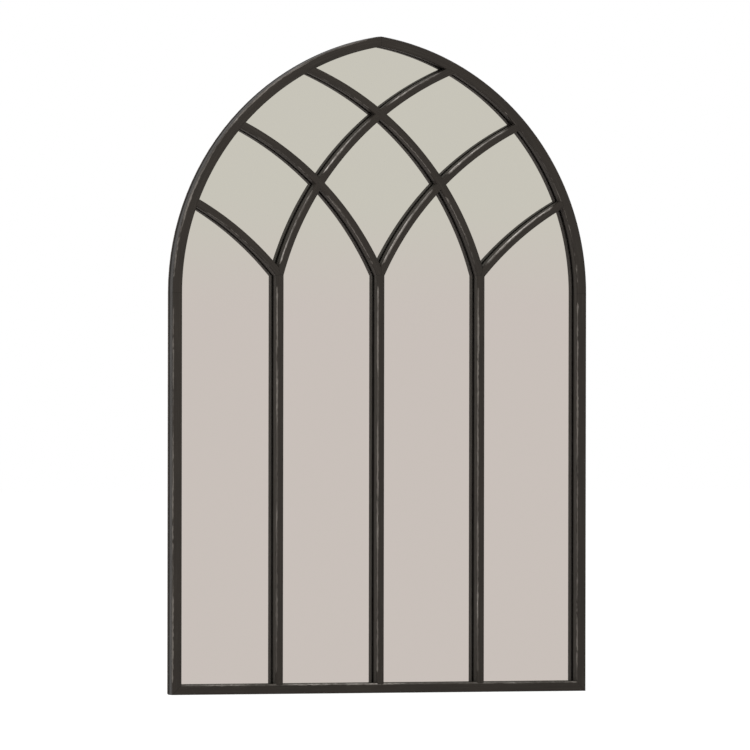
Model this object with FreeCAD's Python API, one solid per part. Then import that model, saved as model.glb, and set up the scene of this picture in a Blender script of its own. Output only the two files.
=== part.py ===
import FreeCAD, Part
import math
import os

# An arched wall mirror: a pointed wooden frame with forked tracery bars in front of one sheet of glass.
# Millimetres. X runs to the right, Y to the wall and Z up. The origin is the middle of the underside,
# halfway through the depth of the casing.

# Outline and section of the frame
FRAME_WIDTH = 745.0
FRAME_HEIGHT = 1118.0
SPRING_HEIGHT = 681.0         # top of the straight stiles, where the arch begins
FRAME_FACE = 17.0             # width of the frame seen from the front
REBATE_WIDTH = 6.0            # ledge behind the face that the glass bears on
ARRIS = 1.2                   # chamfer along every front edge

# Mullions and curved bars
BAR_FACE = 13.0
BAR_DEPTH = 20.0              # from the front face back to the glass
BAR_EASE = 90.0               # all six bars are cut to one curve, larger in radius than the arch by this
FORK_RISE = 31.0              # height of the forks above the springing line
BAR_END_SHARE = 0.26          # part of the arch's sweep from one bar end to the next

# Glass, tape and back panel
GLASS_THICKNESS = 3.0
GLASS_CLEARANCE = 1.0         # gap round the edge of the glass
TAPE_THICKNESS = 0.5
TAPE_WIDTH = 25.0
TAPE_MARGIN = 60.0            # from the ends of a strip to the underside and the springing line
PANEL_THICKNESS = 8.5
PANEL_INSET = 1.0             # step from the frame's outside to the panel's edge
PANEL_CHAMFER = 1.0

# Dowels
FRAME_DOWEL_DIAMETER = 6.0
FRAME_DOWEL_LENGTH = 30.0
CORNER_DOWEL_DIAMETER = 5.0
CORNER_DOWEL_LENGTH = 14.0
BAR_DOWEL_DIAMETER = 4.0
BAR_DOWEL_LENGTH = 16.0
FORK_DOWEL_DIAMETER = 3.0
FORK_DOWEL_LENGTH = 14.0
GLUE_GAP = 0.05               # round a dowel and at its ends

# Screws
SCREW_DIAMETER = 3.2
SCREW_POINT = 3.0             # length of the tapered tip
SCREW_GAP = 0.05
PANEL_SCREW_BITE = 10.0       # length in the frame behind the panel
PANEL_SCREW_HEAD = 6.4
STILE_SCREWS = 3              # in each stile
HANGER_SCREW_COVER = 2.0      # panel left in front of the screw's point
HANGER_SCREW_HEAD = 6.4
HANGER_HEAD_HEIGHT = 1.8
HANGER_HEAD_ROUND = 1.2

# Hangers on the back panel
HANGER_INSET = 72.5           # from the frame's outside to the middle of a hanger
HANGER_HEIGHT = 745.0         # height of the ring's hinge line
STRAP_WIDTH = 12.0
STRAP_LENGTH = 32.0           # from the hinge line down to the rounded end
STRAP_METAL = 1.0             # the strip is folded double below the knuckle
STRAP_SCREW_DROP = 9.0        # from the hinge line to the upper screw
RING_WIRE = 3.0
RING_BAR = 18.0               # straight bar inside the knuckle
RING_CORNER = 3.5             # bend between the bar and the round of the ring
RING_PLAY = 0.06              # round the bar in its knuckle
RING_REST_GAP = 0.3           # from the leaning ring to the panel

# Pads against the wall
PAD_BASE = 14.0
PAD_TOP = 11.0
PAD_HEIGHT = 6.0
PAD_ROUND = 1.0
PAD_RAISE = 60.0              # height of the pads' centres above the underside

# Directions
Vector = FreeCAD.Vector
ACROSS = Vector(1, 0, 0)
BACK = Vector(0, 1, 0)
UP = Vector(0, 0, 1)
DOWN = -UP
FULL_TURN = 360.0
OVERRUN = 20.0                # how far a blank reaches past the cut that trims it

# Depths of the layers, from the front face to the wall side
frame_depth = BAR_DEPTH + GLASS_THICKNESS + TAPE_THICKNESS
casing_depth = frame_depth + PANEL_THICKNESS
front = -casing_depth / 2
glass_front = front + BAR_DEPTH
glass_back = glass_front + GLASS_THICKNESS
frame_back = front + frame_depth
panel_back = front + casing_depth
bar_middle = front + BAR_DEPTH / 2

# Two arcs with their centres on the springing line make the arch
half_width = FRAME_WIDTH / 2
arch_rise = FRAME_HEIGHT - SPRING_HEIGHT
arch_offset = (arch_rise ** 2 - half_width ** 2) / FRAME_WIDTH
arch_radius = half_width + arch_offset
arch_centre = Vector(-arch_offset, 0, SPRING_HEIGHT)

pieces = {}
groups = {}


def arch_sweep(radius):
    """Angle from the springing line to the apex, on an arc of this radius."""
    return math.acos(arch_offset / radius)


def arch_point(radius, angle):
    """Point on the right half of the arch, at an angle above the springing line."""
    return arch_centre + Vector(math.cos(angle), 0, math.sin(angle)) * radius


def mirrored(shape):
    """The same shape on the other side of the centre line."""
    return shape.mirror(Vector(0, 0, 0), ACROSS)


def closed_face(corners):
    """Flat face inside a ring of straight edges."""
    return Part.Face(Part.makePolygon(corners + corners[:1]))


def prism(outline, near, far):
    """Solid of an outline of X and Z, between two depths."""
    face = closed_face([Vector(point.x, near, point.z) for point in outline])
    return face.extrude(BACK * (far - near))


def trimming_prism(outline):
    """Prism that reaches past both faces of the casing, for trimming a blank."""
    return prism(outline, front - OVERRUN, panel_back + OVERRUN)


def section(corner, across, steps):
    """Face of a moulding's section, from steps across its front and back from it."""
    return closed_face([corner + across * side + BACK * deep for side, deep in steps])


def frame_section(corner, inward):
    """L-shaped section of the frame, with its outer front edge at the corner."""
    wall = FRAME_FACE - REBATE_WIDTH
    return section(corner, inward, [
        (ARRIS, 0),
        (FRAME_FACE - ARRIS, 0),
        (FRAME_FACE, ARRIS),
        (FRAME_FACE, BAR_DEPTH),
        (wall, BAR_DEPTH),
        (wall, frame_depth),
        (0, frame_depth),
        (0, ARRIS),
    ])


def bar_section(middle, across):
    """Section of a mullion or a curved bar, centred on a point in the front plane."""
    side = BAR_FACE / 2
    return section(Vector(middle.x, front, middle.z), across, [
        (ARRIS - side, 0),
        (side - ARRIS, 0),
        (side, ARRIS),
        (side, BAR_DEPTH),
        (-side, BAR_DEPTH),
        (-side, ARRIS),
    ])


def make_frame():
    """Bottom rail and stiles with mitred corners, and two arch rails that meet at the apex."""
    low_left = Vector(-half_width, front, 0)
    inner_left = low_left + (ACROSS + UP) * FRAME_FACE
    top_left = low_left + UP * SPRING_HEIGHT
    inner_top = top_left + ACROSS * FRAME_FACE
    low_right = low_left + ACROSS * FRAME_WIDTH
    inner_right = low_right + (UP - ACROSS) * FRAME_FACE

    rail = frame_section(low_left, UP).extrude(ACROSS * FRAME_WIDTH)
    pieces["bottom_rail"] = rail.common(trimming_prism([low_left, low_right, inner_right, inner_left]))

    stile = frame_section(low_left, ACROSS).extrude(UP * SPRING_HEIGHT)
    pieces["left_stile"] = stile.common(trimming_prism([low_left, inner_left, inner_top, top_left]))
    pieces["right_stile"] = mirrored(pieces["left_stile"])

    spring = Vector(half_width, front, SPRING_HEIGHT)
    sweep = arch_sweep(arch_radius) + OVERRUN / arch_radius
    arch = frame_section(spring, -ACROSS).revolve(arch_centre, -BACK, math.degrees(sweep))
    crown = FRAME_HEIGHT + OVERRUN
    outside = half_width + OVERRUN
    half = [Vector(0, 0, 0), Vector(outside, 0, 0), Vector(outside, 0, crown), Vector(0, 0, crown)]
    pieces["right_arch_rail"] = arch.common(trimming_prism(half))
    pieces["left_arch_rail"] = mirrored(pieces["right_arch_rail"])


# Forks stand on the mullions, which part the width into equal panes
BAR_LENGTHS = ("short", "middle", "long")
MULLION_SIDES = ("right", "centre", "left")
panes = len(MULLION_SIDES) + 1
mullion_pitch = (FRAME_WIDTH - 2 * FRAME_FACE + BAR_FACE) / panes
fork_height = SPRING_HEIGHT + FORK_RISE
inner_radius = arch_radius - FRAME_FACE
bar_radius = arch_radius + BAR_EASE


def pane_middles():
    """Middles of the panes between the stiles and the mullions, from left to right."""
    return [mullion_pitch * (pane - (panes - 1) / 2) for pane in range(panes)]


def fork_point(step):
    """Where the mullion of this step forks, counted from the right."""
    return Vector(mullion_pitch * (panes / 2 - step), 0, fork_height)


def bar_end(step):
    """Where the centre line of a right-leaning bar meets the inside of the arch."""
    return arch_point(inner_radius, step * BAR_END_SHARE * arch_sweep(inner_radius))


def bar_centre(step):
    """Centre of the curve of a right-leaning bar."""
    chord = bar_end(step) - fork_point(step)
    below = Vector(chord.z, 0, -chord.x).normalize()
    middle = fork_point(step) + chord * 0.5
    return middle + below * math.sqrt(bar_radius ** 2 - (chord.Length / 2) ** 2)


def bar_direction(step, point):
    """Direction of a right-leaning bar at a point on it, away from the fork."""
    spoke = point - bar_centre(step)
    return Vector(spoke.z, 0, -spoke.x).normalize()


def fork_directions(step):
    """Directions in which the left and the right bar leave a fork."""
    right = bar_direction(step, fork_point(step))
    opposite = panes - step
    left = bar_direction(opposite, fork_point(opposite))
    return Vector(-left.x, 0, left.z), right


def bisector(first, second):
    """Direction of the mitre between two bars."""
    return (first + second).normalize()


def mitre_wedge(point, first, own, second):
    """Prism that keeps the part of a bar between its two mitres at a fork."""
    reach = FRAME_HEIGHT
    return trimming_prism([point, point + first * reach, point + own * (2 * reach), point + second * reach])


def right_leaning_bar(step):
    """Curved bar, mitred at the fork and scribed to the arch rail."""
    fork, end, centre = fork_point(step), bar_end(step), bar_centre(step)
    spoke = (fork - centre).normalize()
    turn = spoke.getAngle(end - centre)
    overrun = OVERRUN / bar_radius
    seat = FRAME_FACE / 2 / bar_radius
    start = bar_section(fork, spoke)
    start.rotate(centre, BACK, -math.degrees(overrun))
    blank = start.revolve(centre, BACK, math.degrees(overrun + turn + seat))
    left, right = fork_directions(step)
    wedge = mitre_wedge(fork, bisector(left, right), right, bisector(right, DOWN))
    return blank.common(wedge).cut(pieces["right_arch_rail"])


def mullion(step):
    """Straight bar, scribed to the bottom rail and mitred to both bars of its fork."""
    fork = fork_point(step)
    foot = Vector(fork.x, 0, FRAME_FACE / 2)
    blank = bar_section(foot, ACROSS).extrude(UP * (fork.z - foot.z + OVERRUN))
    left, right = fork_directions(step)
    wedge = mitre_wedge(fork, bisector(left, DOWN), DOWN, bisector(right, DOWN))
    return blank.common(wedge).cut(pieces["bottom_rail"])


def halve(over, under):
    """Cross-lap two bars: the first keeps the front of the crossing and the second the back."""
    blank = pieces[under]
    room = blank.BoundBox
    corner = Vector(room.XMin, bar_middle, room.ZMin)
    behind = Part.makeBox(room.XLength, BAR_DEPTH, room.ZLength, corner)
    pieces[over] = pieces[over].cut(blank.common(behind))
    pieces[under] = blank.cut(pieces[over])


def make_tracery():
    """Three mullions and six curved bars, halved together where they cross."""
    for step, side in enumerate(MULLION_SIDES, start=1):
        pieces[side + "_mullion"] = mullion(step)
    for step, length in enumerate(BAR_LENGTHS, start=1):
        bar = right_leaning_bar(step)
        pieces["right_" + length + "_bar"] = bar
        pieces["left_" + length + "_bar"] = mirrored(bar)
    halve("left_middle_bar", "right_long_bar")
    halve("left_long_bar", "right_middle_bar")
    halve("left_long_bar", "right_long_bar")


def peg(group, joined, middle, direction, diameter, length):
    """Dowel through a joint, with its hole in the pieces that it joins."""
    start = middle - direction * (length / 2)
    groups.setdefault(group, []).append(Part.makeCylinder(diameter / 2, length, start, direction))
    hole = Part.makeCylinder(
        diameter / 2 + GLUE_GAP, length + 2 * GLUE_GAP, start - direction * GLUE_GAP, direction)
    for node in joined:
        pieces[node] = pieces[node].cut(hole)


def at_depth(point, depth):
    """The same point of the front view at another depth."""
    return Vector(point.x, depth, point.z)


def flipped(vector):
    """The same point or direction on the other side of the centre line."""
    return Vector(-vector.x, vector.y, vector.z)


def make_dowels():
    """Dowels in the frame's joints, at the ends of the bars and in the forks."""
    middle_radius = arch_radius - FRAME_FACE / 2
    corner = Vector(half_width - FRAME_FACE / 2, bar_middle, FRAME_FACE / 2)
    spring = Vector(corner.x, bar_middle, SPRING_HEIGHT)
    apex = at_depth(arch_point(middle_radius, arch_sweep(middle_radius)), bar_middle)
    square = (ACROSS + UP).normalize()
    for side, turn in (("right", Vector), ("left", flipped)):
        stile, arch = side + "_stile", side + "_arch_rail"
        peg("frame_dowels", ["bottom_rail", stile], turn(corner), turn(square),
            CORNER_DOWEL_DIAMETER, CORNER_DOWEL_LENGTH)
        peg("frame_dowels", [stile, arch], turn(spring), UP, FRAME_DOWEL_DIAMETER, FRAME_DOWEL_LENGTH)
        for step, length in enumerate(BAR_LENGTHS, start=1):
            end = bar_end(step)
            direction = bar_direction(step, end)
            peg("bar_dowels", [side + "_" + length + "_bar", arch], turn(at_depth(end, bar_middle)),
                turn(direction), BAR_DOWEL_DIAMETER, BAR_DOWEL_LENGTH)
    peg("frame_dowels", ["left_arch_rail", "right_arch_rail"], apex, ACROSS,
        FRAME_DOWEL_DIAMETER, FRAME_DOWEL_LENGTH)

    for step, side in enumerate(MULLION_SIDES, start=1):
        node = side + "_mullion"
        foot = Vector(fork_point(step).x, bar_middle, FRAME_FACE)
        peg("bar_dowels", [node, "bottom_rail"], foot, UP, BAR_DOWEL_DIAMETER, BAR_DOWEL_LENGTH)
        left, right = fork_directions(step)
        right_bar = "right_" + BAR_LENGTHS[step - 1] + "_bar"
        left_bar = "left_" + BAR_LENGTHS[-step] + "_bar"
        for bar, lean, third in ((left_bar, left, 1), (right_bar, right, 2)):
            mitre = bisector(lean, DOWN)
            square = Vector(-mitre.z, 0, mitre.x)
            depth = front + third * BAR_DEPTH / 3
            middle = at_depth(fork_point(step) + mitre * (BAR_FACE / 4), depth)
            peg("fork_dowels", [node, bar], middle, square, FORK_DOWEL_DIAMETER, FORK_DOWEL_LENGTH)


def arch_sheet(inset, near, thickness):
    """Flat arched sheet, set in from the frame's outside."""
    radius = arch_radius - inset
    sweep = arch_sweep(radius)
    spring, shoulder, apex = (at_depth(arch_point(radius, sweep * share), near) for share in (0, 0.5, 1))
    foot = Vector(spring.x, near, inset)
    outline = Part.Wire([
        Part.makeLine(flipped(foot), foot),
        Part.makeLine(foot, spring),
        Part.Arc(spring, shoulder, apex).toShape(),
        Part.Arc(apex, flipped(shoulder), flipped(spring)).toShape(),
        Part.makeLine(flipped(spring), flipped(foot)),
    ])
    return Part.Face(outline).extrude(BACK * thickness)


def turned(outline, place):
    """Solid of revolution about Y: a profile of radius and depth, turned at a place."""
    corners = [place + ACROSS * radius + BACK * depth for radius, depth in outline]
    return closed_face(corners).revolve(place, BACK, FULL_TURN)


def panel_screw(head, gap):
    """Countersunk screw with its head flush at a point, or with a gap added, its hole."""
    shank = SCREW_DIAMETER / 2 + gap
    rim = PANEL_SCREW_HEAD / 2 + gap
    end = PANEL_THICKNESS + PANEL_SCREW_BITE + gap
    return turned([(0, 0), (rim, 0), (shank, shank - rim), (shank, SCREW_POINT - end), (0, -end)], head)


def panel_screw_places():
    """Points along the middle of the frame's back wall, clear of the dowels in the bar ends."""
    inset = (FRAME_FACE - REBATE_WIDTH) / 2
    radius = arch_radius - inset
    stops = [0] + [step * BAR_END_SHARE for step in range(1, panes)] + [1]
    places = [Vector(x, 0, inset) for x in pane_middles()]
    for step in range(STILE_SCREWS):
        stile = Vector(half_width - inset, 0, SPRING_HEIGHT * (step + 0.5) / STILE_SCREWS)
        places.extend([stile, flipped(stile)])
    for low, high in zip(stops, stops[1:]):
        arch = arch_point(radius, (low + high) / 2 * arch_sweep(radius))
        places.extend([arch, flipped(arch)])
    return [at_depth(place, panel_back) for place in places]


def make_glazing():
    """Glass in the rebate, tape behind it and the back panel that closes the frame."""
    glass_inset = FRAME_FACE - REBATE_WIDTH + GLASS_CLEARANCE
    pieces["mirror_glass"] = arch_sheet(glass_inset, glass_front, GLASS_THICKNESS)
    strip_height = SPRING_HEIGHT - 2 * TAPE_MARGIN
    for x in pane_middles():
        corner = Vector(x - TAPE_WIDTH / 2, glass_back, TAPE_MARGIN)
        strip = Part.makeBox(TAPE_WIDTH, TAPE_THICKNESS, strip_height, corner)
        groups.setdefault("mounting_tape", []).append(strip)

    panel = arch_sheet(PANEL_INSET, frame_back, PANEL_THICKNESS)
    rim = [edge for edge in panel.Edges if edge.BoundBox.YMin > (frame_back + panel_back) / 2]
    pieces["back_panel"] = panel.makeChamfer(PANEL_CHAMFER, rim)
    heads = panel_screw_places()
    groups["panel_screws"] = [panel_screw(head, 0) for head in heads]
    holes = [panel_screw(head, SCREW_GAP) for head in heads]
    drilled = ["back_panel", "bottom_rail", "left_stile", "right_stile", "left_arch_rail", "right_arch_rail"]
    for node in drilled:
        pieces[node] = pieces[node].cut(holes)


# The ring's hinge line stands off the panel by the knuckle's radius
knuckle_bore = RING_WIRE / 2 + RING_PLAY
knuckle_radius = knuckle_bore + STRAP_METAL
hinge = Vector(half_width - HANGER_INSET, panel_back + knuckle_radius, HANGER_HEIGHT)
ring_round = RING_BAR / 2 + RING_CORNER
ring_reach = RING_CORNER + ring_round
ring_lean = math.asin((knuckle_radius - RING_WIRE / 2 - RING_REST_GAP) / ring_reach)
strap_back = panel_back + 2 * STRAP_METAL
hanger_screw_length = strap_back - frame_back - HANGER_SCREW_COVER


def along_hinge(radius, length):
    """Cylinder on the right ring's hinge line."""
    return Part.makeCylinder(radius, length, hinge - ACROSS * (length / 2), ACROSS)


def hanger_strap():
    """Folded strap with a rounded lower end, rolled into a knuckle at the top."""
    end = Vector(hinge.x, panel_back, hinge.z - STRAP_LENGTH + STRAP_WIDTH / 2)
    corner = end - ACROSS * (STRAP_WIDTH / 2)
    plate = Part.makeBox(STRAP_WIDTH, strap_back - panel_back, hinge.z - end.z, corner)
    tongue = Part.makeCylinder(STRAP_WIDTH / 2, strap_back - panel_back, end, BACK)
    strap = plate.fuse([tongue, along_hinge(knuckle_radius, STRAP_WIDTH)]).removeSplitter()
    return strap.cut(along_hinge(knuckle_bore, STRAP_WIDTH))


def d_ring():
    """Wire ring with a straight bar, leaning against the panel."""
    bend = RING_CORNER * (1 - math.sqrt(0.5))
    bar = RING_BAR / 2
    corner = Vector(bar, 0, 0)
    bent = Vector(ring_round - bend, 0, bend)
    side = Vector(ring_round, 0, RING_CORNER)
    top = Vector(0, 0, ring_reach)
    path = Part.Wire([
        Part.makeLine(flipped(corner), corner),
        Part.Arc(corner, bent, side).toShape(),
        Part.Arc(side, top, flipped(side)).toShape(),
        Part.Arc(flipped(side), flipped(bent), flipped(corner)).toShape(),
    ])
    wire = Part.Wire(Part.makeCircle(RING_WIRE / 2, flipped(corner), ACROSS))
    ring = path.makePipeShell([wire], True, False)
    ring.rotate(Vector(0, 0, 0), ACROSS, math.degrees(ring_lean))
    return ring.translate(hinge)


def hanger_screw(seat):
    """Pan-head screw whose head stands on the strap at a point."""
    shank = SCREW_DIAMETER / 2
    rim = HANGER_SCREW_HEAD / 2
    screw = turned([
        (0, HANGER_HEAD_HEIGHT),
        (rim, HANGER_HEAD_HEIGHT),
        (rim, 0),
        (shank, 0),
        (shank, SCREW_POINT - hanger_screw_length),
        (0, -hanger_screw_length),
    ], seat)
    upper = seat.y + HANGER_HEAD_HEIGHT / 2
    crown = [edge for edge in screw.Edges if edge.Closed and edge.BoundBox.YMin > upper]
    return screw.makeFillet(HANGER_HEAD_ROUND, crown)


def make_hangers():
    """Strap, ring and two screws on each side of the panel."""
    strap = hanger_strap()
    drops = (STRAP_SCREW_DROP, STRAP_LENGTH - STRAP_WIDTH / 2)
    for drop in drops:
        seat = Vector(hinge.x, strap_back, hinge.z - drop)
        screw = hanger_screw(seat)
        groups.setdefault("hanger_screws", []).extend([screw, mirrored(screw)])
        radius = SCREW_DIAMETER / 2 + SCREW_GAP
        hole = Part.makeCylinder(radius, hanger_screw_length + SCREW_GAP, seat, -BACK)
        strap = strap.cut(hole)
        pieces["back_panel"] = pieces["back_panel"].cut([hole, mirrored(hole)])
    ring = d_ring()
    for side, turn in (("right", Part.Shape), ("left", mirrored)):
        pieces[side + "_hanger_strap"] = turn(strap)
        pieces[side + "_d_ring"] = turn(ring)


def make_pads():
    """Round rubber pads near the lower corners of the panel."""
    foot = Vector(hinge.x, panel_back, PAD_RAISE)
    pad = Part.makeCone(PAD_BASE / 2, PAD_TOP / 2, PAD_HEIGHT, foot, BACK)
    top = [edge for edge in pad.Edges if edge.BoundBox.YMin > panel_back + PAD_HEIGHT / 2]
    pad = pad.makeFillet(PAD_ROUND, top)
    groups["wall_pads"] = [pad, mirrored(pad)]


make_frame()
make_tracery()
make_dowels()
make_glazing()
make_hangers()
make_pads()

for name, solids in groups.items():
    pieces[name] = Part.makeCompound(solids)

os.makedirs("parts", exist_ok=True)
for node, shape in pieces.items():
    shape.exportStep("parts/" + node + ".step")
    print(node, len(shape.Solids), "solids", round(shape.Volume), "mm3", "valid", shape.isValid())
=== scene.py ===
import math

import bmesh
import bpy
from mathutils import Matrix, Vector


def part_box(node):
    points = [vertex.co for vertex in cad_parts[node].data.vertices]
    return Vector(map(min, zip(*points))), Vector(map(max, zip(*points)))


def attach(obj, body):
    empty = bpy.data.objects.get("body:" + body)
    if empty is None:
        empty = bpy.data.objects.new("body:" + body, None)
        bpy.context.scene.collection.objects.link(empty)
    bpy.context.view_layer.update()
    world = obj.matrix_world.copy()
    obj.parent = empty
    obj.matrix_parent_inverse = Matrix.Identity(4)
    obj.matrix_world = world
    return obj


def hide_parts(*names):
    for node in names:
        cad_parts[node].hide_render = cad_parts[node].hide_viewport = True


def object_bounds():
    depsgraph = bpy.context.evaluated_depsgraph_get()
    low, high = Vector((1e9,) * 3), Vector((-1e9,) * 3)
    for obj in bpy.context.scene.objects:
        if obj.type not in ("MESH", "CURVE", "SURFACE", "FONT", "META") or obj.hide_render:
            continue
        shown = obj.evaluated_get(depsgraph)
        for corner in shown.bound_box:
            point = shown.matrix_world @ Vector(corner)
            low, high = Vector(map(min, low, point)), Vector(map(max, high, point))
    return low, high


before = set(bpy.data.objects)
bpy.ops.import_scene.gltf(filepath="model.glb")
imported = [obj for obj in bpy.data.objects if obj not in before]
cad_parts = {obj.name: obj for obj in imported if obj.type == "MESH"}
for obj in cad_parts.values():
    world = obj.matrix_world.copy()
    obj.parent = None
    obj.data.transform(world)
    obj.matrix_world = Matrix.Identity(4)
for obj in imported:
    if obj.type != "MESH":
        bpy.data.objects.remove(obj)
cad_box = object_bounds()

# The bottom rail and the two stiles are planed softwood, rebated behind the face to take the glass.
# They are mitred and dowelled at the lower corners, and painted charcoal over a paler primer that shows
# where the front arrises have been rubbed through. The pale arrises are also a painted highlight, strongest
# where they face up or to the left, and the paint is darkened as painted shade where it meets the glass.
BODY = "mirror"
ACROSS = Vector((1, 0, 0))
BACK = Vector((0, 1, 0))
UP = Vector((0, 0, 1))
GLASS_CLEARANCE = 0.001
ARRIS = 0.002                 # radius of a rubbed front arris
ARRIS_STEPS = 4
RING_GAP = 0.004              # from one ring of points to the next along a length of wood
OVERRUN = 0.02                # a blank is this much too long at each end
WELD = 0.000001               # points nearer to each other than this are one point
ON_PLANE = 0.0005             # points nearer to a plane than this lie on it
SMOOTH_BELOW = math.radians(35)
RUB_AND_HIGHLIGHT_REACH = 0.005             # how far from an arris the paint is rubbed and painted with highlight
CORNER_SHADE_REACH = 0.007           # how far from the glass the paint is darkened as painted shade

rail_low, rail_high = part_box("bottom_rail")
stile_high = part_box("left_stile")[1]
glass_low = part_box("mirror_glass")[0]
front = rail_low.y
half_width = rail_high.x
frame_face = rail_high.z - rail_low.z
half_frame = frame_face / 2
frame_depth = rail_high.y - front
bar_depth = glass_low.y - front
rebate_wall = glass_low.z - GLASS_CLEARANCE
spring = stile_high.z


def choose(piece):
    """Select one piece alone, and make it the active one."""
    bpy.ops.object.select_all(action="DESELECT")
    piece.select_set(True)
    bpy.context.view_layer.objects.active = piece


def edit(piece):
    """Open one piece for editing, with nothing else selected."""
    choose(piece)
    bpy.ops.object.mode_set(mode="EDIT")


def close():
    """Leave edit mode."""
    bpy.ops.object.mode_set(mode="OBJECT")


def select(piece, kind, test):
    """Select the vertices, edges or faces of an open piece whose middle passes a test."""
    bpy.ops.mesh.select_mode(type=kind)
    bpy.ops.mesh.select_all(action="DESELECT")
    shape = bmesh.from_edit_mesh(piece.data)
    parts = {"VERT": shape.verts, "EDGE": shape.edges, "FACE": shape.faces}[kind]
    for part in parts:
        corners = [part.co] if kind == "VERT" else [corner.co for corner in part.verts]
        if test(sum(corners, Vector()) / len(corners)):
            part.select_set(True)
    shape.select_flush_mode()
    bmesh.update_edit_mesh(piece.data)


def weld(gap):
    """Merge the points of an open piece that lie nearer to each other than a gap."""
    bpy.ops.mesh.select_all(action="SELECT")
    bpy.ops.mesh.remove_doubles(threshold=gap)


def rule(place, across):
    """Rule a line of points across an open section."""
    bpy.ops.mesh.select_all(action="SELECT")
    bpy.ops.mesh.bisect(plane_co=place, plane_no=across, threshold=WELD)


def bar_section(name, left, right):
    """Open section of a bar on the bench: X across its face, Y back to the glass, front corners rounded."""
    bpy.ops.object.select_all(action="DESELECT")
    bpy.ops.mesh.primitive_plane_add(size=1)
    piece = bpy.context.object
    piece.name = name
    piece.data.name = name
    bpy.ops.object.mode_set(mode="EDIT")
    bpy.ops.transform.resize(value=(right - left, bar_depth, 1))
    bpy.ops.transform.translate(value=((left + right) / 2, bar_depth / 2, 0))
    select(piece, "VERT", lambda point: point.y < ARRIS)
    bpy.ops.mesh.bevel(offset=ARRIS, segments=ARRIS_STEPS, affect="VERTICES")
    for x in (left + RUB_AND_HIGHLIGHT_REACH, (left + right) / 2, right - RUB_AND_HIGHLIGHT_REACH):
        rule((x, 0, 0), ACROSS)
    for y in (RUB_AND_HIGHLIGHT_REACH, bar_depth / 2, bar_depth - CORNER_SHADE_REACH, bar_depth - CORNER_SHADE_REACH / 3):
        rule((0, y, 0), BACK)
    return piece


def frame_section(name):
    """Open section of a frame member, its outer front corner at the origin and a rebate behind its face."""
    piece = bar_section(name, 0, frame_face)
    rule((rebate_wall, 0, 0), ACROSS)
    select(piece, "EDGE", lambda point: point.y > bar_depth - ON_PLANE and point.x < rebate_wall)
    bpy.ops.mesh.extrude_region_move(TRANSFORM_OT_translate={"value": (0, frame_depth - bar_depth, 0)})
    return piece


def draw_out(length):
    """Draw the open section out along Z, and close it."""
    rings = math.ceil(length / RING_GAP)
    bpy.ops.mesh.select_all(action="SELECT")
    bpy.ops.mesh.extrude_repeat(steps=rings, offset=(0, 0, length / rings))
    close()


def swing_round(radius, angle):
    """Swing the open section round the centre of its curve, which lies across its face, and close it."""
    rings = math.ceil(radius * angle / RING_GAP)
    bpy.ops.mesh.select_all(action="SELECT")
    bpy.ops.mesh.spin(steps=rings, angle=angle, center=(radius, 0, 0), axis=-BACK)
    close()


def stand(piece, origin, across):
    """Stand a piece in its place: its bench origin at a point of the front and its X along a direction."""
    turn = Matrix((across, BACK, across.cross(BACK))).transposed().to_4x4()
    piece.matrix_world = Matrix.Translation(origin) @ turn
    choose(piece)
    bpy.ops.object.transform_apply(location=True, rotation=True, scale=True)


def trim(piece, joints):
    """Saw a blank off at its joints, each a point and the direction of the waste."""
    edit(piece)
    for point, waste in joints:
        bpy.ops.mesh.select_all(action="SELECT")
        bpy.ops.mesh.bisect(plane_co=point, plane_no=waste, use_fill=True, clear_outer=True, threshold=WELD)
    weld(WELD)
    bpy.ops.mesh.normals_make_consistent(inside=False)
    close()


def apply_modifiers(piece):
    """Apply all modifiers of one piece in order."""
    choose(piece)
    for modifier in [modifier.name for modifier in piece.modifiers]:
        bpy.ops.object.modifier_apply(modifier=modifier)


def straight_run(start, along, across):
    """Where a point lies on a straight member: along it and across it from its middle."""
    return lambda point: ((point - start).dot(along), (point - start).dot(across))


def bent_run(centre, radius):
    """Where a point lies on a curved member whose middle has this radius."""
    def place(point):
        spoke = point - centre
        reach = math.hypot(spoke.x, spoke.z)
        return radius * math.atan2(spoke.z, spoke.x), reach - radius
    return place


DENT = 0.0005                 # deepest dent in an arris
DENT_LENGTH = 0.045

dents = bpy.data.textures.new("arris_dents", "CLOUDS")
dents.noise_scale = DENT_LENGTH
dents.noise_depth = 1


def rub_arrises(piece, run, half_face):
    """Wear shallow dents into the front arrises of a member."""
    worn = piece.vertex_groups.new(name="arrises")
    for corner in piece.data.vertices:
        across = run(corner.co)[1]
        if corner.co.y - front < ARRIS and half_face - abs(across) < ARRIS:
            worn.add([corner.index], 1, "REPLACE")
    dent = piece.modifiers.new("dents", "DISPLACE")
    dent.texture = dents
    dent.vertex_group = worn.name
    dent.mid_level = 0
    dent.strength = -DENT
    apply_modifiers(piece)


STILE_RUB_AND_LIGHT = 0.82              # how hard the arrises of the stiles are rubbed and painted with highlight
RAIL_RUB_AND_LIGHT = 1.05               # the same for the bottom rail
LEAST_RUB_AND_LIGHT = 0.5               # share of it on an arris that faces down or to the right, away from the light
UPRIGHT_RUB_AND_LIGHT = 0.55            # share on an upright arris, and how much more painted highlight as it faces the light on the left
UPRIGHT_LIGHT_LEFT = 0.4
LEANING_RUB_AND_LIGHT = 0.42            # share on a leaning arris, and how much more painted highlight as it faces the light to the left and above
LEANING_LIGHT_LEFT = 0.68
LEANING_LIGHT_UP = 0.73
FEELER = 0.0001               # step by which the way that an arris faces is felt
KNOT = 0.01                   # no paint is rubbed off and no highlight painted so near to a joint
KNOT_FADE = 0.016             # from there the rubbing and painted highlight come in over this length


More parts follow.
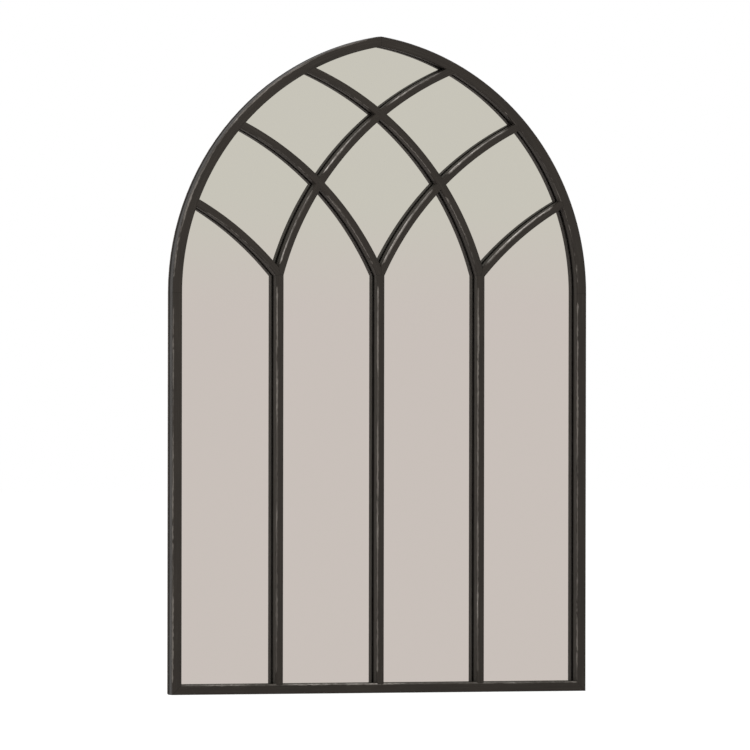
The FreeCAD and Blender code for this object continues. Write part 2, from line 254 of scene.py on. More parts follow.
def rub_and_light_share(to_right, to_top):
    """Share of the rubbing and painted highlight that an arris gets from how it faces the light above and to
    the left.
    """
    leaning_share = LEANING_RUB_AND_LIGHT - LEANING_LIGHT_LEFT * to_right + LEANING_LIGHT_UP * to_top
    upright_share = UPRIGHT_RUB_AND_LIGHT - UPRIGHT_LIGHT_LEFT * to_right
    return max(leaning_share, upright_share, LEAST_RUB_AND_LIGHT)


def note_wear_and_painted_light(piece, run, half_face, joints, crossings, rub_and_light, start):
    """Keep at each point its place on the straight wood, its rubbing and painted highlight at the arrises,
    its painted shade near the glass, and its nearness to joints.

    Arrises that face up or to the left, towards the light, are the most rubbed and get the most painted
    highlight, and the paint lies thick round the joints.
    """
    knots = [point for point, waste in joints] + list(crossings)
    wood, rubbed_and_lit, corner_shade, seam = [], [], [], []
    for corner in piece.data.vertices:
        along, across = run(corner.co)
        deep = corner.co.y - front
        wood.extend((start + along, across, deep))
        from_arris = math.hypot(max(half_face - abs(across), 0), max(deep, 0))
        to_right, to_top = ((run(corner.co + step)[1] - across) * math.copysign(1 / FEELER, across)
                            for step in (ACROSS * FEELER, UP * FEELER))
        from_knot = min((corner.co - knot).length for knot in knots)
        clear = min(max((from_knot - KNOT) / KNOT_FADE, 0), 1)
        rubbed_and_lit.append(max(1 - from_arris / RUB_AND_HIGHLIGHT_REACH, 0) * rub_and_light * rub_and_light_share(to_right, to_top) * clear)
        corner_shade.append(max(1 - max(bar_depth - deep, 0) / CORNER_SHADE_REACH, 0))
        seam.append(min(abs((corner.co - point).dot(waste)) for point, waste in joints))
    piece.data.attributes.new("wood", "FLOAT_VECTOR", "POINT").data.foreach_set("vector", wood)
    for name, values in (("rubbed_and_lit", rubbed_and_lit), ("corner_shade", corner_shade), ("seam", seam)):
        piece.data.attributes.new(name, "FLOAT", "POINT").data.foreach_set("value", values)


MIX_FIRST, MIX_SECOND, MIX_COLOUR = 6, 7, 2     # the Mix node's sockets for colours


def feed(tree, socket, value):
    """Link a socket to another node's output, or set its value."""
    if isinstance(value, bpy.types.NodeSocket):
        tree.links.new(value, socket)
    else:
        socket.default_value = value


def dress(tree, node, **sockets):
    """Feed a node's input sockets by name."""
    for name, value in sockets.items():
        feed(tree, node.inputs[name.replace("_", " ")], value)


def add(tree, kind, settings, **sockets):
    """New node of a kind, with its settings and its input sockets by name."""
    made = tree.nodes.new("ShaderNode" + kind)
    for name, value in settings.items():
        setattr(made, name, value)
    dress(tree, made, **sockets)
    return made


def attribute(tree, name, output):
    """What is kept at each point of a mesh under a name."""
    return add(tree, "Attribute", {"attribute_name": name}).outputs[output]


def noise(tree, vector, spots, detail):
    """Grey noise of about so many spots to the metre, the same each way or a number for each way."""
    if isinstance(spots, tuple):
        vector = add(tree, "Mapping", {}, Vector=vector, Scale=spots).outputs[0]
        spots = 1
    return add(tree, "TexNoise", {}, Vector=vector, Scale=spots, Detail=detail).outputs[0]


def calculate(tree, operation, first, second):
    """One step of arithmetic."""
    made = add(tree, "Math", {"operation": operation})
    feed(tree, made.inputs[0], first)
    feed(tree, made.inputs[1], second)
    return made.outputs[0]


def plus_share(tree, value, other, share):
    """A value with a share of another added to it."""
    return calculate(tree, "ADD", value, calculate(tree, "MULTIPLY", other, share))


def between(tree, value, over, to):
    """A value eased over one range and mapped to another."""
    made = add(tree, "MapRange", {"interpolation_type": "SMOOTHSTEP"}, Value=value)
    dress(tree, made, From_Min=over[0], From_Max=over[1], To_Min=to[0], To_Max=to[1])
    return made.outputs[0]


def blended(tree, factor, first, second):
    """Two colours mixed by a factor."""
    made = add(tree, "Mix", {"data_type": "RGBA"})
    feed(tree, made.inputs[0], factor)
    feed(tree, made.inputs[MIX_FIRST], first)
    feed(tree, made.inputs[MIX_SECOND], second)
    return made.outputs[MIX_COLOUR]


def bumped(tree, height, strength, distance):
    """Normals tilted by a height."""
    return add(tree, "Bump", {}, Height=height, Strength=strength, Distance=distance).outputs[0]


def new_material(name):
    """New material, with its node tree and its shader."""
    material = bpy.data.materials.new(name)
    material.use_nodes = True
    return material, material.node_tree, material.node_tree.nodes["Principled BSDF"]


PAINT_STREAKS = (14, 420, 420)      # spots to the metre along the wood, across it and into it
PAINT_CLOUDS = (9, 40, 40)
RUBBED_PATCHES = (10, 60, 60)
PAINT_CHIPS = (110, 420, 420)
PAINT_SPECKS = 700
CHARCOAL = (0.020, 0.0176, 0.0155, 1)
WARM_CHARCOAL = (0.034, 0.0275, 0.0225, 1)
PALE_STREAK = (0.042, 0.037, 0.031, 1)
THIN_PRIMER = (0.15, 0.134, 0.12, 1)
# Palest primer, reached only on arrises that face up or to the left: partly a painted highlight.
PRIMER_HIGHLIGHT = (0.6, 0.565, 0.53, 1)
# Near black for the painted shade where the paint meets the glass, and for the dark joint lines.
SHADE_AND_SEAM_DARK = (0.004, 0.0035, 0.003, 1)
STREAK_SHARE, CHIP_SHARE = 0.5, 0.8     # of the raggedness of a rubbed place
CLOUD_SHARE = 0.3             # of the unevenness of the painted shade by the glass
SHADE_DULLS = 0.4             # how much rougher the paint is in the painted shade by the glass
SPECK_SHARE = 0.15            # height of the specks and depth of the rubbing, in heights of a streak
RUBBED_DEPTH = 0.4
PAINT_SHEEN = 0.22


def worn_paint_and_painted_light():
    """Satin charcoal paint, streaked along the grain, rubbed on arrises with a painted highlight where they
    face the light, and with painted shade in the corners at the glass.
    """
    material, tree, surface = new_material("charcoal_paint_worn_and_painted_light")
    wood = attribute(tree, "wood", "Vector")
    streaks = noise(tree, wood, PAINT_STREAKS, detail=5)
    clouds = noise(tree, wood, PAINT_CLOUDS, detail=2)
    patches = noise(tree, wood, RUBBED_PATCHES, detail=3)
    chips = noise(tree, wood, PAINT_CHIPS, detail=4)
    specks = noise(tree, wood, PAINT_SPECKS, detail=2)

    colour = blended(tree, clouds, CHARCOAL, WARM_CHARCOAL)
    streaked = between(tree, streaks, over=(0.45, 0.75), to=(0, 0.6))
    colour = blended(tree, streaked, colour, PALE_STREAK)

    uneven = plus_share(tree, calculate(tree, "MULTIPLY", streaks, STREAK_SHARE), chips, CHIP_SHARE)
    uneven = calculate(tree, "SUBTRACT", uneven, (STREAK_SHARE + CHIP_SHARE) / 2)
    # Rubbed primer at the arrises, paler where they face up or to the left: real wear and a painted
    # highlight.
    ragged_rub_and_light = calculate(tree, "ADD", attribute(tree, "rubbed_and_lit", "Fac"), uneven)
    bare_and_highlit = calculate(tree, "MULTIPLY", between(tree, ragged_rub_and_light, over=(0.5, 0.68), to=(0, 1)),
                     between(tree, patches, over=(0.42, 0.62), to=(0.3, 1)))
    primer_and_highlight = blended(tree, between(tree, ragged_rub_and_light, over=(0.8, 1.2), to=(0, 1)), THIN_PRIMER, PRIMER_HIGHLIGHT)
    colour = blended(tree, bare_and_highlit, colour, primer_and_highlight)

    # Painted shade: the paint darkens towards the glass, in the corner where a bar meets it.
    corner_shade = plus_share(tree, attribute(tree, "corner_shade", "Fac"), clouds, CLOUD_SHARE)
    painted_shade = between(tree, corner_shade, over=(0.2, 1), to=(0, 0.85))
    colour = blended(tree, painted_shade, colour, SHADE_AND_SEAM_DARK)
    joint = between(tree, attribute(tree, "seam", "Fac"), over=(0.0001, 0.0007), to=(0.5, 0))
    colour = blended(tree, joint, colour, SHADE_AND_SEAM_DARK)

    rough = between(tree, streaks, over=(0.3, 0.75), to=(0.46, 0.62))
    rough = plus_share(tree, rough, painted_shade, SHADE_DULLS)
    height = plus_share(tree, streaks, specks, SPECK_SHARE)
    height = plus_share(tree, height, bare_and_highlit, -RUBBED_DEPTH)
    dress(tree, surface, Base_Color=colour, Roughness=rough, Specular_IOR_Level=PAINT_SHEEN,
          Normal=bumped(tree, height, strength=0.35, distance=0.0004))
    return material


BOARD_STEP = 3.1              # from the grain of one length of wood to that of the next

paint = worn_paint_and_painted_light()
boards_used = []


def finish_wood(piece, node, run, half_face, joints, rub_and_light, crossings=()):
    """Paint a member of the frame or the tracery, and fix it in place of its node."""
    note_wear_and_painted_light(piece, run, half_face, joints, crossings, rub_and_light, BOARD_STEP * len(boards_used))
    boards_used.append(node)
    bpy.ops.object.shade_smooth_by_angle(angle=SMOOTH_BELOW)
    piece.data.materials.append(paint)
    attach(piece, BODY)
    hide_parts(node)


foot_left = Vector((-half_width, front, 0))
foot_right = Vector((half_width, front, 0))
mitre_left = (foot_left, (ACROSS - UP).normalized())
mitre_right = (foot_right, (-ACROSS - UP).normalized())

for side, foot, mitre in (("left", foot_left, mitre_left), ("right", foot_right, mitre_right)):
    inward = ACROSS if side == "left" else -ACROSS
    stile = frame_section("painted_" + side + "_stile")
    draw_out(spring + 2 * OVERRUN)
    start = -OVERRUN if side == "left" else spring + OVERRUN
    stand(stile, foot + UP * start, inward)
    run = straight_run(foot + inward * half_frame, UP, inward)
    rub_arrises(stile, run, half_frame)
    joints = [mitre, (foot + UP * spring, UP)]
    trim(stile, joints)
    finish_wood(stile, side + "_stile", run, half_frame, joints, STILE_RUB_AND_LIGHT)

rail = frame_section("painted_bottom_rail")
draw_out(2 * (half_width + OVERRUN))
stand(rail, foot_right + ACROSS * OVERRUN, UP)
run = straight_run(UP * half_frame, ACROSS, UP)
rub_arrises(rail, run, half_frame)
joints = [(point, -waste) for point, waste in (mitre_left, mitre_right)]
trim(rail, joints)
finish_wood(rail, "bottom_rail", run, half_frame, joints, RAIL_RUB_AND_LIGHT)

# The two arch rails are sawn to the curve from wider boards, with the section of the stiles.
# They are dowelled end to end on the stiles and mitred together at the point of the arch.
ARCH_RUB_AND_LIGHT = 0.75               # how hard the arrises of the arch are rubbed and painted with highlight

apex = cad_box[1].z
arch_rise = apex - spring
arch_offset = (arch_rise ** 2 - half_width ** 2) / (2 * half_width)
arch_radius = half_width + arch_offset
arch_sweep = math.acos(arch_offset / arch_radius)
arch_overswing = OVERRUN / arch_radius

for side in ("left", "right"):
    inward = ACROSS if side == "left" else -ACROSS
    centre = inward * arch_offset + UP * spring + BACK * front
    back_off = -arch_overswing if side == "left" else -arch_sweep - arch_overswing
    spoke = Matrix.Rotation(back_off, 3, BACK) @ inward
    rail = frame_section("painted_" + side + "_arch_rail")
    swing_round(arch_radius, arch_sweep + 2 * arch_overswing)
    stand(rail, centre - spoke * arch_radius, spoke)
    run = bent_run(centre, arch_radius - half_frame)
    rub_arrises(rail, run, half_frame)
    joints = [(centre - inward * arch_radius, -UP), (UP * apex + BACK * front, inward)]
    trim(rail, joints)
    finish_wood(rail, side + "_arch_rail", run, half_frame, joints, ARCH_RUB_AND_LIGHT)

# Three mullions, straight softwood bars that reach back to the glass, stand on the bottom rail.
# Each is dowelled into the rail at its foot and mitred at its top to the two bars of its fork.
PANES = 4                     # from stile to stile
FORK_RISE = 0.031             # height of the forks above the springing line
BAR_EASE = 0.09               # the bars' curves are this much wider than the arch's
BAR_END_SHARE = 0.26          # from one bar end to the next round the arch, as a share of the arch
BAR_RUB_AND_LIGHT = 0.96                # how hard the arrises of the mullions and the bars are rubbed and painted with highlight

mullion_low, mullion_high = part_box("centre_mullion")
bar_face = mullion_high.x - mullion_low.x
half_bar = bar_face / 2
mullion_pitch = (2 * half_width - 2 * frame_face + bar_face) / PANES
fork_height = spring + FORK_RISE
inner_radius = arch_radius - frame_face
inner_sweep = math.acos(arch_offset / inner_radius)
bar_radius = arch_radius + BAR_EASE


def leaning(point, lean):
    """A point or direction of a right-leaning bar, or of its left-leaning twin."""
    return point if lean == "right" else Vector((-point.x, point.y, point.z))


def fork_point(step, lean):
    """Where the bar of this step leaves its fork, counted from the stile that it leans to."""
    return leaning(Vector((mullion_pitch * (PANES / 2 - step), front, fork_height)), lean)


def bar_end(step, lean):
    """Where the middle of a bar meets the inside of the arch."""
    angle = step * BAR_END_SHARE * inner_sweep
    across = inner_radius * math.cos(angle) - arch_offset
    return leaning(Vector((across, front, inner_radius * math.sin(angle) + spring)), lean)


def bar_centre(step, lean):
    """Centre of the curve of a bar."""
    fork = fork_point(step, "right")
    chord = bar_end(step, "right") - fork
    below = Vector((chord.z, 0, -chord.x)).normalized()
    right = fork + chord / 2 + below * math.sqrt(bar_radius ** 2 - (chord.length / 2) ** 2)
    return leaning(right, lean)


def bar_direction(step, lean, point):
    """Direction of a bar at a point on it, away from its fork."""
    spoke = point - bar_centre(step, lean)
    away = Vector((spoke.z, 0, -spoke.x)).normalized()
    return away if lean == "right" else -away


def fork_joints(fork, own, others):
    """Mitre planes of one member of a fork against the two others."""
    return [(fork, (other - own).normalized()) for other in others]


for step, side in enumerate(("right", "centre", "left"), start=1):
    fork = fork_point(step, "right")
    foot = Vector((fork.x, front, frame_face - ARRIS))
    mullion = bar_section("painted_" + side + "_mullion", -half_bar, half_bar)
    draw_out(fork_height - foot.z + 2 * OVERRUN)
    stand(mullion, foot - UP * OVERRUN, ACROSS)
    run = straight_run(foot, UP, ACROSS)
    rub_arrises(mullion, run, half_bar)
    leans = [bar_direction(step, "right", fork), bar_direction(PANES - step, "left", fork)]
    joints = [(foot, -UP)] + fork_joints(fork, -UP, leans)
    trim(mullion, joints)
    finish_wood(mullion, side + "_mullion", run, half_bar, joints, BAR_RUB_AND_LIGHT)

# Six curved bars, sawn from board to one radius, lean from the forks to the arch, three each way.
# They are mitred at the forks, scribed to the arch rails and halved into each other where they cross,
# so that all faces lie flush under the paint.
LENGTHS = ("short", "middle", "long")
LAPS = (("middle", "long"), ("long", "middle"), ("long", "long"))     # left-leaning bar, right-leaning bar
LAP_ROOM = 0.06               # size of the block that a lap is sawn out with

lap_depth = front + bar_depth / 2
lap_cuts = {                  # width of the notch, and the depths that it goes from and to
    "left": (bar_face, lap_depth, front + 2 * bar_depth),
    "right": (bar_face - 2 * ARRIS, front - bar_depth, lap_depth),
}
bar_overswing = OVERRUN / bar_radius


def crossing(first, second):
    """Upper point where two curves of the bars' radius cross."""
    half_gap = (second - first) / 2
    rise = half_gap.cross(BACK).normalized()
    if rise.z < 0:
        rise = -rise
    return first + half_gap + rise * math.sqrt(bar_radius ** 2 - half_gap.length_squared)


def cut_with(piece, tool):
    """Cut the form of a tool out of a piece, and put the tool away."""
    cut = piece.modifiers.new("cut", "BOOLEAN")
    cut.operation = "DIFFERENCE"
    cut.solver = "EXACT"
    cut.object = tool
    apply_modifiers(piece)
    bpy.data.objects.remove(tool)


def saw_lap(piece, middle, along, width, low, high):
    """Saw a notch across a bar, along the other bar, from one depth to another."""
    bpy.ops.object.select_all(action="DESELECT")
    bpy.ops.mesh.primitive_cube_add(size=1)
    block = bpy.context.object
    across = BACK.cross(along)
    turn = Matrix((across * width, BACK * (high - low), along * LAP_ROOM)).transposed().to_4x4()
    block.matrix_world = Matrix.Translation(Vector((middle.x, (low + high) / 2, middle.z))) @ turn
    cut_with(piece, block)
    edit(piece)
    weld(WELD)
    close()


for lean, opposite in (("left", "right"), ("right", "left")):
    for step, length in enumerate(LENGTHS, start=1):
        fork, end, centre = (place(step, lean) for place in (fork_point, bar_end, bar_centre))
        turn = (fork - centre).angle(end - centre)
        back_off = -bar_overswing if lean == "right" else -turn - bar_overswing
        spoke = Matrix.Rotation(back_off, 3, BACK) @ (centre - fork).normalized()
        bar = bar_section("painted_" + lean + "_" + length + "_bar", -half_bar, half_bar)
        swing_round(bar_radius, turn + 2 * bar_overswing)
        stand(bar, centre - spoke * bar_radius, spoke)
        run = bent_run(centre, bar_radius)
        rub_arrises(bar, run, half_bar)

        arch_middle = leaning(Vector((-arch_offset, front, spring)), lean)
        to_arch = (end - arch_middle).normalized()
        others = [-UP, bar_direction(PANES - step, opposite, fork)]
        joints = [(end + to_arch * ARRIS, to_arch)]
        joints += fork_joints(fork, bar_direction(step, lean, fork), others)
        trim(bar, joints)

        crossings = []
        for left_length, right_length in LAPS:
            steps = {"left": LENGTHS.index(left_length) + 1, "right": LENGTHS.index(right_length) + 1}
            if steps[lean] == step:
                middle = crossing(bar_centre(steps["left"], "left"), bar_centre(steps["right"], "right"))
                saw_lap(bar, middle, bar_direction(steps[opposite], opposite, middle), *lap_cuts[lean])
                crossings.append(middle)
        finish_wood(bar, lean + "_" + length + "_bar", run, half_bar, joints, BAR_RUB_AND_LIGHT, crossings)

# Beech dowels hold the frame's corners, the ends of the bars and the forks.
# They are glued in blind holes, so none of them shows once the frame is together.
BEECH_GRAIN = (900, 900, 120)       # spots to the metre
BEECH_FLECKS = 1600
PALE_BEECH = (0.5, 0.33, 0.19, 1)
PALEST_BEECH = (0.66, 0.47, 0.29, 1)
BROWN_FLECK = (0.3, 0.17, 0.09, 1)


def object_place(tree):
    """Where a point lies in its object."""
    return add(tree, "TexCoord", {}).outputs["Object"]


def beech():
    """Pale beech with short brown flecks."""
    material, tree, surface = new_material("beech_dowel")
    place = object_place(tree)
    grain = noise(tree, place, BEECH_GRAIN, detail=4)
    flecks = noise(tree, place, BEECH_FLECKS, detail=1)
    colour = blended(tree, grain, PALE_BEECH, PALEST_BEECH)
    colour = blended(tree, between(tree, flecks, over=(0.6, 0.7), to=(0, 0.5)), colour, BROWN_FLECK)
    dress(tree, surface, Base_Color=colour,
          Roughness=between(tree, grain, over=(0.3, 0.7), to=(0.55, 0.7)),
          Normal=bumped(tree, grain, strength=0.3, distance=0.0002))
    return material


def coat(node, material):
    """Give a node of the frame a material."""
    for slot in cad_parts[node].material_slots:
        slot.material = material


beech_wood = beech()
for node in ("frame_dowels", "bar_dowels", "fork_dowels"):
    coat(node, beech_wood)

# One arched sheet of 3 mm float glass lies in the rebate, behind all of the bars.
# It is silvered on its back, so what it reflects stands off from the bars by the thickness of the glass.
SILVER_DEPTH = 0.0026         # from the front of the glass to the face of the silver
CAD_WELD = 0.00001            # gap that is welded in a copy of a node's loose triangles
WIPING_MARKS = (5, 5, 14)     # spots to the metre
SILVER_CLOUDS = (3, 3, 2)
SILVER = (0.885, 0.88, 0.868, 1)
DIM_SILVER = (0.88, 0.872, 0.86, 1)


def silvered_glass():
    """Silvered glass with faint wiping marks."""
    material, tree, surface = new_material("silvered_glass")
    place = object_place(tree)
    wiping = noise(tree, place, WIPING_MARKS, detail=3)
    clouds = noise(tree, place, SILVER_CLOUDS, detail=1)
    dress(tree, surface, Base_Color=blended(tree, clouds, SILVER, DIM_SILVER), Metallic=1,
          Roughness=between(tree, wiping, over=(0.35, 0.7), to=(0.015, 0.035)))
    return material


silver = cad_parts["mirror_glass"].copy()
silver.data = silver.data.copy()
silver.name = "silvered_sheet"
silver.data.name = "silvered_sheet"
bpy.context.scene.collection.objects.link(silver)
edit(silver)
weld(CAD_WELD)
select(silver, "VERT", lambda point: point.y < glass_low.y + ON_PLANE)
bpy.ops.transform.translate(value=BACK * SILVER_DEPTH)
close()
silver.data.materials.clear()
silver.data.materials.append(silvered_glass())
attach(silver, BODY)
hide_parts("mirror_glass")

# Strips of thin grey foam tape stick the glass to the board behind it.
# One runs up behind the middle of each pane, and all are hidden once the board is on.
FOAM_CELLS = 1800             # to the metre
CELL_MIDDLE = (0.2, 0.2, 0.2, 1)
CELL_WALL = (0.42, 0.42, 0.41, 1)


def foam():
    """Fine-celled grey foam."""
    material, tree, surface = new_material("grey_foam")
    cells = add(tree, "TexVoronoi", {}, Vector=object_place(tree), Scale=FOAM_CELLS).outputs[0]
    dress(tree, surface, Base_Color=blended(tree, cells, CELL_MIDDLE, CELL_WALL),
          Roughness=between(tree, cells, over=(0, 0.6), to=(0.95, 0.8)),
          Normal=bumped(tree, cells, strength=0.5, distance=0.0003))
    return material


coat("mounting_tape", foam())

# The back panel is an arched board of medium fibreboard that closes the rebate and covers the back.
# It is stained dark, with paler fibres showing in it, and its rear edge is chamfered all round.
STAIN_BLOTCHES = 7            # spots to the metre
BOARD_FIBRES = (900, 900, 220)
BOARD_SPECKS = 1300
DARK_STAIN = (0.05, 0.037, 0.027, 1)
PALE_STAIN = (0.082, 0.06, 0.043, 1)
PALE_FIBRE = (0.2, 0.145, 0.1, 1)
DARK_SPECK = (0.02, 0.015, 0.011, 1)


def fibreboard():
    """Dark stained fibreboard with paler fibres and a blotchy stain."""
    material, tree, surface = new_material("stained_fibreboard")
    place = object_place(tree)
    blotches = noise(tree, place, STAIN_BLOTCHES, detail=4)
    fibres = noise(tree, place, BOARD_FIBRES, detail=3)
    specks = noise(tree, place, BOARD_SPECKS, detail=2)
    colour = blended(tree, between(tree, blotches, over=(0.3, 0.7), to=(0, 1)), DARK_STAIN, PALE_STAIN)
    colour = blended(tree, between(tree, fibres, over=(0.56, 0.72), to=(0, 0.55)), colour, PALE_FIBRE)
    colour = blended(tree, between(tree, specks, over=(0.62, 0.72), to=(0, 0.6)), colour, DARK_SPECK)
    dress(tree, surface, Base_Color=colour,
          Roughness=between(tree, fibres, over=(0.3, 0.7), to=(0.72, 0.88)),
          Normal=bumped(tree, fibres, strength=0.25, distance=0.0003))
    return material


coat("back_panel", fibreboard())

# Countersunk zinc-plated screws hold the panel to the rebate wall all round.
# Each has a flat head with a cross recess, sunk level with the board.
HEAD_SIDES = 32
ROW_DIGITS = 4                # screws whose heights agree to this many places are in one row
HEAD_TURN = 0.7               # each screw is driven this much further round than the one before
ON_HEAD = 0.00005             # a face nearer than this to a head's top or underside is that face
HEAD_EASE = 0.00015           # rounding of a countersunk head's rim
HEAD_EASE_STEPS = 2
SHANK_SHARE = 0.5             # of the head's radius
POINT_SHARE = 0.2             # of the shank's radius
RECESS_WING = 0.0009          # width of one arm of the cross
RECESS_SHARE = 0.56           # span of the cross, as a share of the head
RECESS_DEPTH = 0.35           # depth of the cross, as a share of its span
RECESS_TAPER = (0.35, 0.8, 1)       # bottom of an arm, as shares of its top
ZINC_CLOUDS = 160             # spots to the metre
ZINC_SCRATCHES = (300, 300, 3000)
DARK_ZINC = (0.4, 0.4, 0.395, 1)
PALE_ZINC = (0.56, 0.56, 0.545, 1)


def zinc():
    """Zinc-plated steel, slightly clouded and finely scratched."""
    material, tree, surface = new_material("zinc_plate")
    place = object_place(tree)
    clouds = noise(tree, place, ZINC_CLOUDS, detail=4)
    scratches = noise(tree, place, ZINC_SCRATCHES, detail=2)
    colour = blended(tree, between(tree, clouds, over=(0.3, 0.7), to=(0, 1)), DARK_ZINC, PALE_ZINC)
    dress(tree, surface, Base_Color=colour, Metallic=1,
          Roughness=between(tree, clouds, over=(0.3, 0.7), to=(0.26, 0.42)),
          Normal=bumped(tree, scratches, strength=0.08, distance=0.0001))
    return material


zinc_plate = zinc()


def loose_parts(node):
    """Lowest and highest corners of each loose part of a node."""
    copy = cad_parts[node].copy()
    copy.data = copy.data.copy()
    bpy.context.scene.collection.objects.link(copy)
    edit(copy)
    weld(CAD_WELD)
    bpy.ops.mesh.separate(type="LOOSE")
    close()
    boxes = []
    for part in list(bpy.context.selected_objects):
        corners = [corner.co for corner in part.data.vertices]
        low = Vector([min(corner[axis] for corner in corners) for axis in range(3)])
        high = Vector([max(corner[axis] for corner in corners) for axis in range(3)])
        boxes.append((low, high))
        bpy.data.objects.remove(part)
    return sorted(boxes, key=lambda box: (round(box[0].z, ROW_DIGITS), box[0].x))


def screw_head(name, radius, depth):
    """Head of a screw, open on the bench with its top at the origin and its underside selected."""
    bpy.ops.object.select_all(action="DESELECT")
    bpy.ops.mesh.primitive_cylinder_add(vertices=HEAD_SIDES, radius=radius, depth=depth,
                                        location=(0, 0, -depth / 2))
    screw = bpy.context.object
    screw.name = name
    bpy.ops.object.transform_apply(location=True, rotation=True, scale=True)
    edit(screw)
    select(screw, "FACE", lambda point: point.z < ON_HEAD - depth)
    return screw


def draw_shank(length, radius):
    """Draw the selected face of an open screw out into a shank with a point."""
    bpy.ops.mesh.extrude_region_move(TRANSFORM_OT_translate={"value": (0, 0, radius - length)})
    bpy.ops.mesh.extrude_region_move(TRANSFORM_OT_translate={"value": (0, 0, -radius)})
    bpy.ops.transform.resize(value=(POINT_SHARE, POINT_SHARE, 1))


def round_rim(screw, reach, steps):
    """Round the rim of an open screw's head, and close it."""
    select(screw, "FACE", lambda point: point.z > -ON_HEAD)
    bpy.ops.mesh.bevel(offset=reach, segments=steps)
    close()


def sink_cross(screw, radius):
    """Press a cross recess into the head of a screw on the bench."""
    span = 2 * radius * RECESS_SHARE
    for turn in (0, math.pi / 2):
        bpy.ops.object.select_all(action="DESELECT")
        bpy.ops.mesh.primitive_cube_add(size=1)
        arm = bpy.context.object
        sized = Matrix.Diagonal((span, RECESS_WING, 2 * span * RECESS_DEPTH, 1))
        arm.matrix_world = Matrix.Rotation(turn, 4, "Z") @ sized
        edit(arm)
        select(arm, "VERT", lambda point: point.z < 0)
        bpy.ops.transform.resize(value=RECESS_TAPER)
        close()
        cut_with(screw, arm)


def drive_screws(screw, boxes):
    """Copy a screw to its places, heads to the back and each turned a little further, and join them."""
    copies = []
    for number, (low, high) in enumerate(boxes):
        copy = screw.copy()
        copy.data = screw.data.copy()
        bpy.context.scene.collection.objects.link(copy)
        place = Vector(((low.x + high.x) / 2, high.y, (low.z + high.z) / 2))
        turn = Matrix.Rotation(-math.pi / 2, 4, "X") @ Matrix.Rotation(HEAD_TURN * number, 4, "Z")
        copy.matrix_world = Matrix.Translation(place) @ turn
        copies.append(copy)
    name = screw.name
    bpy.data.objects.remove(screw)
    choose(copies[0])
    for copy in copies:
        copy.select_set(True)
    bpy.ops.object.join()
    bpy.ops.object.transform_apply(location=True, rotation=True, scale=True)
    bpy.ops.object.shade_smooth_by_angle(angle=SMOOTH_BELOW)
    joined = bpy.context.object
    joined.name = name
    joined.data.name = name
    joined.data.materials.append(zinc_plate)
    return joined


panel_screw_boxes = loose_parts("panel_screws")
low, high = panel_screw_boxes[0]
head_radius = (high.x - low.x) / 2
shank_radius = head_radius * SHANK_SHARE
head_depth = head_radius - shank_radius
panel_screw = screw_head("cross_head_panel_screws", head_radius, head_depth)
bpy.ops.transform.resize(value=(SHANK_SHARE, SHANK_SHARE, 1))
draw_shank(high.y - low.y - head_depth, shank_radius)
round_rim(panel_screw, HEAD_EASE, HEAD_EASE_STEPS)
sink_cross(panel_screw, head_radius)
panel_screws = drive_screws(panel_screw, panel_screw_boxes)
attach(panel_screws, BODY)
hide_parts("panel_screws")

# Two hanger straps, folded from steel strip round the bars of the D-rings, lie against the panel.
# They are zinc plated like the screws.
for node in ("left_hanger_strap", "right_hanger_strap"):
    coat(node, zinc_plate)

# Pan-head screws hold the straps to the panel, and end inside it, short of the glass.
# They have the same plating and recess as the panel's screws.
PAN_HEIGHT = 0.0018
PAN_ROUND = 0.6               # of the height of the head
PAN_ROUND_STEPS = 5

hanger_screw_boxes = loose_parts("hanger_screws")
low, high = hanger_screw_boxes[0]
pan_radius = (high.x - low.x) / 2
hanger_screw = screw_head("cross_head_hanger_screws", pan_radius, PAN_HEIGHT)
bpy.ops.mesh.inset(thickness=pan_radius - shank_radius)
draw_shank(high.y - low.y - PAN_HEIGHT, shank_radius)
round_rim(hanger_screw, PAN_HEIGHT * PAN_ROUND, PAN_ROUND_STEPS)
sink_cross(hanger_screw, pan_radius)
hanger_screws = drive_screws(hanger_screw, hanger_screw_boxes)
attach(hanger_screws, BODY)
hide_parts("hanger_screws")

# The D-rings are bent from steel wire and swing in the knuckles of the straps.
# They carry the mirror on two wall hooks, or on a wire between them.
for node in ("left_d_ring", "right_d_ring"):
    coat(node, zinc_plate)

# Two rubber pads near the lower corners keep the back off the wall.
# They are moulded as short cones, with a fine matt skin.
RUBBER_SKIN = 1500            # spots to the metre
RUBBER_DUST = 220
BLACK_RUBBER = (0.014, 0.014, 0.014, 1)
DUSTY_RUBBER = (0.045, 0.043, 0.04, 1)


def rubber():
    """Matt black rubber with a fine skin."""
    material, tree, surface = new_material("moulded_rubber")
    place = object_place(tree)
    skin = noise(tree, place, RUBBER_SKIN, detail=3)
    dust = noise(tree, place, RUBBER_DUST, detail=3)
    colour = blended(tree, between(tree, dust, over=(0.5, 0.75), to=(0, 1)), BLACK_RUBBER, DUSTY_RUBBER)
    dress(tree, surface, Base_Color=colour,
          Roughness=between(tree, skin, over=(0.3, 0.7), to=(0.62, 0.8)),
          Normal=bumped(tree, skin, strength=0.3, distance=0.0002))
    return material


coat("wall_pads", rubber())

